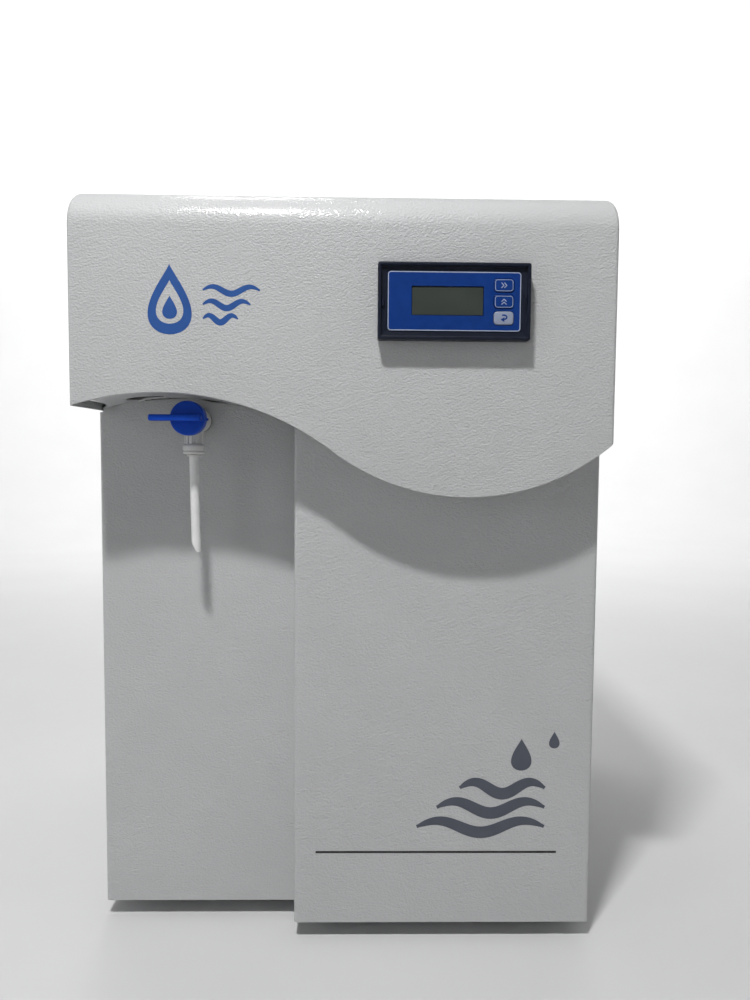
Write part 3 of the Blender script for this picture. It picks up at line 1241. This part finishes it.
pump_head = turned(
    "pump_head",
    [
        (0, 0),
        (PUMP_HEAD_RADIUS - DOME_LENGTH / 2, 0),
        (PUMP_HEAD_RADIUS, DOME_LENGTH / 2),
        (PUMP_HEAD_RADIUS, PUMP_HEAD_LENGTH / 2),
        (PUMP_HEAD_RADIUS - DOME_LENGTH / 2, PUMP_HEAD_LENGTH / 2),
        (PUMP_HEAD_RADIUS - DOME_LENGTH, PUMP_HEAD_LENGTH),
        (0, PUMP_HEAD_LENGTH),
    ],
    WHITE_PLASTIC, at=(PUMP_X + SEAT_GAP, pump_y, pump_z), turn="+X")
nozzle = rods("pump_nozzles", BOSS_RADIUS / 2, -PUMP_HEAD_RADIUS - BOSS_LENGTH, PUMP_HEAD_RADIUS + BOSS_LENGTH,
              [(PUMP_X + PUMP_HEAD_LENGTH * PUMP_NOZZLE_SHARE, pump_y, pump_z)], "+Y")
weld(pump_head, nozzle)

# Solenoid valve: a body across the feed line with a square coil above it
valve_y = PLATE_BACK + SEAT_GAP + VALVE_BODY / 2
valve_z = CASE_BOTTOM + VALVE_RISE
solenoid_valve = block(
    "solenoid_valve",
    (VALVE_X - VALVE_BODY / 2, PLATE_BACK + SEAT_GAP, valve_z - VALVE_BODY / 2),
    (VALVE_X + VALVE_BODY / 2, PLATE_BACK + SEAT_GAP + VALVE_BODY, valve_z + VALVE_BODY / 2),
    WHITE_PLASTIC)
valve_port_end = PLATE_BACK + SEAT_GAP + VALVE_BODY + BOSS_LENGTH
weld(
    solenoid_valve,
    block(
        "valve_coil",
        (VALVE_X - VALVE_COIL / 2, PLATE_BACK + SEAT_GAP, valve_z + VALVE_BODY / 4),
        (VALVE_X + VALVE_COIL / 2, PLATE_BACK + SEAT_GAP + VALVE_COIL, valve_z + VALVE_BODY / 4 + VALVE_COIL)),
    rods("valve_port", BOSS_RADIUS / 2, -BOSS_LENGTH / 2, BOSS_LENGTH,
         [(VALVE_X, valve_port_end - BOSS_LENGTH, valve_z - VALVE_BODY / 4)], "+Y"),
)

# Power supply: a closed steel case on the tray, with its screw terminals at one end
supply_front = PLATE_BACK + SUPPLY_CLEARANCE
power_supply = block(
    "power_supply",
    (SUPPLY_X - SUPPLY_WIDTH / 2, supply_front, FLOOR),
    (SUPPLY_X + SUPPLY_WIDTH / 2, supply_front + SUPPLY_DEPTH, FLOOR + SUPPLY_HEIGHT),
    ZINC_STEEL)
cut(power_supply, block(
    "supply_ledge",
    (SUPPLY_X - SUPPLY_WIDTH / 2 - OVERRUN, supply_front - OVERRUN, FLOOR + SUPPLY_HEIGHT / 2),
    (SUPPLY_X - SUPPLY_WIDTH / 2 + TERMINAL_HEIGHT, supply_front + SUPPLY_DEPTH + OVERRUN,
     FLOOR + SUPPLY_HEIGHT + OVERRUN)))

# Control board: on four standoffs behind the plate, with its relays and plugs
control_y = PLATE_BACK + SEAT_GAP + CONTROL_STANDOFF
control_z = CASE_TOP - CONTROL_DROP - CONTROL_HEIGHT
control_board = block(
    "control_board",
    (CONTROL_X - CONTROL_WIDTH / 2, control_y, control_z),
    (CONTROL_X + CONTROL_WIDTH / 2, control_y + BOARD_THICKNESS, control_z + CONTROL_HEIGHT),
    CIRCUIT_GREEN)
standoff_places = [
    (CONTROL_X + across * (CONTROL_WIDTH / 2 - SWITCH_SIZE), control_y,
     control_z + CONTROL_HEIGHT / 2 + up * (CONTROL_HEIGHT / 2 - SWITCH_SIZE))
    for across in (-1, 1)
    for up in (-1, 1)
]
relay_pitch = CONTROL_WIDTH / (RELAYS + 1)
weld(
    control_board,
    rods("standoffs", SCREW_RADIUS, -CONTROL_STANDOFF, BOARD_THICKNESS / 2, standoff_places, "+Y", HEX_SIDES),
    blocks("relays", [
        (
            (CONTROL_X - CONTROL_WIDTH / 2 + relay_pitch * relay - RELAY_SIZE / 2,
             control_y + BOARD_THICKNESS / 2, control_z + CONTROL_HEIGHT / 2),
            (CONTROL_X - CONTROL_WIDTH / 2 + relay_pitch * relay + RELAY_SIZE / 2,
             control_y + BOARD_THICKNESS + RELAY_SIZE, control_z + CONTROL_HEIGHT / 2 + RELAY_SIZE),
        )
        for relay in range(1, RELAYS + 1)
    ]),
)

# Probe: the polishing cartridge's outlet passes a tee that holds the conductivity probe
tee_low = cartridge_bottom + CARTRIDGE_LENGTH + SEAT_GAP
tee_top = tee_low + TEE_LENGTH
probe_tee = turned(
    "probe_tee", rod(TEE_RADIUS, tee_low, tee_top), WHITE_PLASTIC, at=(polisher_x, polisher_y, 0))
tee_port_z = tee_low + TEE_LENGTH / 2
tee_front = polisher_y - TEE_RADIUS - BOSS_LENGTH
weld(probe_tee, rods("tee_port", BOSS_RADIUS / 2, 0, TEE_RADIUS + BOSS_LENGTH,
                     [(polisher_x, polisher_y, tee_port_z)], "-Y"))
conductivity_probe = turned(
    "conductivity_probe",
    [
        (0, 0),
        (TEE_RADIUS, 0),
        (TEE_RADIUS, PROBE_LENGTH / 4),
        (PROBE_RADIUS, PROBE_LENGTH / 4),
        (PROBE_RADIUS, PROBE_LENGTH - PROBE_RADIUS),
        (PROBE_RADIUS / 2, PROBE_LENGTH),
        (0, PROBE_LENGTH),
    ],
    BLACK_PLASTIC, at=(polisher_x, polisher_y, tee_top + SEAT_GAP), sides=SMALL_SIDES)


def hose(name, start, start_way, end, end_way):
    """A hose bent smoothly from one fitting to another, square to both of them."""
    start = Vector(start)
    end = Vector(end)
    lead_in = start + Vector(start_way) * HOSE_LEAD
    lead_out = end - Vector(end_way) * HOSE_LEAD
    pull = (lead_out - lead_in).length
    first = Vector(start_way) * pull
    last = Vector(end_way) * pull
    spots = [start]
    route = bpy.data.curves.new(name, "CURVE")
    route.dimensions = "3D"
    route.bevel_depth = HOSE_RADIUS
    route.bevel_resolution = 2
    route.use_fill_caps = True
    for step in range(HOSE_STEPS + 1):
        t = step / HOSE_STEPS
        spots.append(
            (2 * t ** 3 - 3 * t ** 2 + 1) * lead_in
            + (t ** 3 - 2 * t ** 2 + t) * first
            + (3 * t ** 2 - 2 * t ** 3) * lead_out
            + (t ** 3 - t ** 2) * last
        )
    spots.append(end)
    line = route.splines.new("POLY")
    line.points.add(len(spots) - 1)
    for point, spot in zip(line.points, spots):
        point.co = (*spot, 1.0)
    body = bpy.data.objects.new(name, route)
    bpy.context.scene.collection.objects.link(body)
    route.materials.append(MILKY_HOSE)
    return body


# Hoses: product water to the tap, feed water to the valve, and the membrane's drain
port_inner = CASE_BACK - PORT_SHANK
hose(
    "product_hose", (polisher_x, tee_front - SEAT_GAP, tee_port_z), (0, -1, 0),
    (TAP_X, hose_stop + SEAT_GAP, TAP_Z), (0, -1, 0))
hose(
    "feed_hose", (FEED_X, port_inner - SEAT_GAP, PORT_Z), (0, -1, 0),
    (VALVE_X, valve_port_end + SEAT_GAP, valve_z - VALVE_BODY / 4), (0, -1, 0))
hose(
    "drain_hose", (membrane_x, membrane_y, membrane_bottom - SEAT_GAP), (0, 0, -1),
    (DRAIN_X, port_inner - SEAT_GAP, PORT_Z), (0, 1, 0))

# Water connections: push-fit bodies through the back panel, each with a sliding collet
collet_back = PORT_BARREL + SEAT_GAP + COLLET_TRAVEL
for name, place in zip(("tank", "feed", "drain"), port_places):
    port_profile = [
        (PORT_BORE, -PORT_SHANK),
        (PORT_SHANK_RADIUS, -PORT_SHANK),
        (PORT_SHANK_RADIUS, -SKIN - NUT_HEIGHT),
        (PORT_FLANGE_RADIUS, -SKIN - NUT_HEIGHT),
        (PORT_FLANGE_RADIUS, -SKIN),
        (PORT_SHANK_RADIUS, -SKIN),
        (PORT_SHANK_RADIUS, SEAT_GAP),
        (PORT_FLANGE_RADIUS, SEAT_GAP),
        (PORT_FLANGE_RADIUS, PORT_FLANGE),
        (PORT_BARREL_RADIUS, PORT_FLANGE),
        (PORT_BARREL_RADIUS, PORT_BARREL),
        (COLLET_RADIUS + SEAT_GAP, PORT_BARREL),
        (COLLET_RADIUS + SEAT_GAP, PORT_BARREL - COLLET_DEPTH),
        (HOSE_RADIUS + SEAT_GAP, PORT_BARREL - COLLET_DEPTH),
        (HOSE_RADIUS + SEAT_GAP, 0),
        (PORT_BORE, 0),
    ]
    turned(name + "_port", port_profile, WHITE_PLASTIC, at=place, turn="+Y", sides=SMALL_SIDES, ring=True)
    collet_profile = [
        (HOSE_RADIUS + SEAT_GAP, collet_back - COLLET_DEPTH + SEAT_GAP),
        (COLLET_RADIUS, collet_back - COLLET_DEPTH + SEAT_GAP),
        (COLLET_RADIUS, collet_back),
        (COLLET_LIP_RADIUS, collet_back),
        (COLLET_LIP_RADIUS, collet_back + COLLET_LIP),
        (HOSE_RADIUS + SEAT_GAP, collet_back + COLLET_LIP),
    ]
    turned(name + "_collet", collet_profile, WHITE_PLASTIC, at=place, turn="+Y", sides=SMALL_SIDES, ring=True)

# Mains inlet: a flanged housing with the three-pin socket below the rocker's pocket
inlet_outer = CASE_BACK + SEAT_GAP + INLET_FLANGE
power_inlet = prism(
    "power_inlet", rounded(INLET_X, INLET_Z, INLET_WIDTH, INLET_HEIGHT, BEZEL_CORNER), "Y",
    CASE_BACK - INLET_DEPTH, CASE_BACK + INLET_FLANGE / 2, BLACK_PLASTIC)
inlet_rim = prism(
    "inlet_rim",
    rounded(INLET_X, INLET_Z, INLET_WIDTH + 2 * INLET_BORDER, INLET_HEIGHT + INLET_BORDER, PIN_HEIGHT / 2),
    "Y", CASE_BACK + SEAT_GAP, inlet_outer)
weld(power_inlet, inlet_rim)
socket_z = INLET_Z - SOCKET_DROP
socket_outline = [
    (INLET_X - SOCKET_WIDTH / 2, socket_z - SOCKET_HEIGHT / 2),
    (INLET_X + SOCKET_WIDTH / 2, socket_z - SOCKET_HEIGHT / 2),
    (INLET_X + SOCKET_WIDTH / 2, socket_z + SOCKET_HEIGHT / 2 - SOCKET_CHAMFER),
    (INLET_X + SOCKET_WIDTH / 2 - SOCKET_CHAMFER, socket_z + SOCKET_HEIGHT / 2),
    (INLET_X - SOCKET_WIDTH / 2 + SOCKET_CHAMFER, socket_z + SOCKET_HEIGHT / 2),
    (INLET_X - SOCKET_WIDTH / 2, socket_z + SOCKET_HEIGHT / 2 - SOCKET_CHAMFER),
]
socket_floor = inlet_outer - SOCKET_DEPTH
rocker_z = INLET_Z + ROCKER_LIFT
rocker_y = inlet_outer - ROCKER_BACK
pocket_half = sqrt(ROCKER_HALF_LENGTH ** 2 + (ROCKER_BACK + ROCKER_PROUD) ** 2) + ROCKER_CLEARANCE
pocket_height = ROCKER_HEIGHT + 2 * SEAT_GAP
cut(
    power_inlet,
    prism("socket", socket_outline, "Y", socket_floor, inlet_outer + OVERRUN),
    block(
        "rocker_pocket",
        (INLET_X - pocket_half, rocker_y - ROCKER_POCKET, rocker_z - pocket_height / 2),
        (INLET_X + pocket_half, inlet_outer + OVERRUN, rocker_z + pocket_height / 2)),
)
pins = blocks("inlet_pins", [
    (
        (INLET_X + across * PIN_SPREAD - PIN_WIDTH / 2, socket_floor - PIN_WIDTH,
         socket_z + up - PIN_HEIGHT / 2),
        (INLET_X + across * PIN_SPREAD + PIN_WIDTH / 2, socket_floor + PIN_LENGTH,
         socket_z + up + PIN_HEIGHT / 2),
    )
    for across, up in ((-1, -PIN_OFFSET), (0, PIN_OFFSET), (1, -PIN_OFFSET))
])
weld(power_inlet, pins)

# Rocker: a shallow vee that rocks about an upright pin, tilted to off
rocker_outline = [
    (-ROCKER_HALF_LENGTH, -ROCKER_BACK),
    (0, -ROCKER_KEEL),
    (ROCKER_HALF_LENGTH, -ROCKER_BACK),
    (ROCKER_HALF_LENGTH, ROCKER_PROUD),
    (0, ROCKER_PROUD - ROCKER_DIP),
    (-ROCKER_HALF_LENGTH, ROCKER_PROUD),
]
power_rocker = prism(
    "power_rocker", rocker_outline, "Z", -ROCKER_HEIGHT / 2, ROCKER_HEIGHT / 2, BLACK_PLASTIC)
power_rocker.location = (INLET_X, rocker_y, rocker_z)
power_rocker.rotation_euler = (0, 0, ROCKER_TILT)
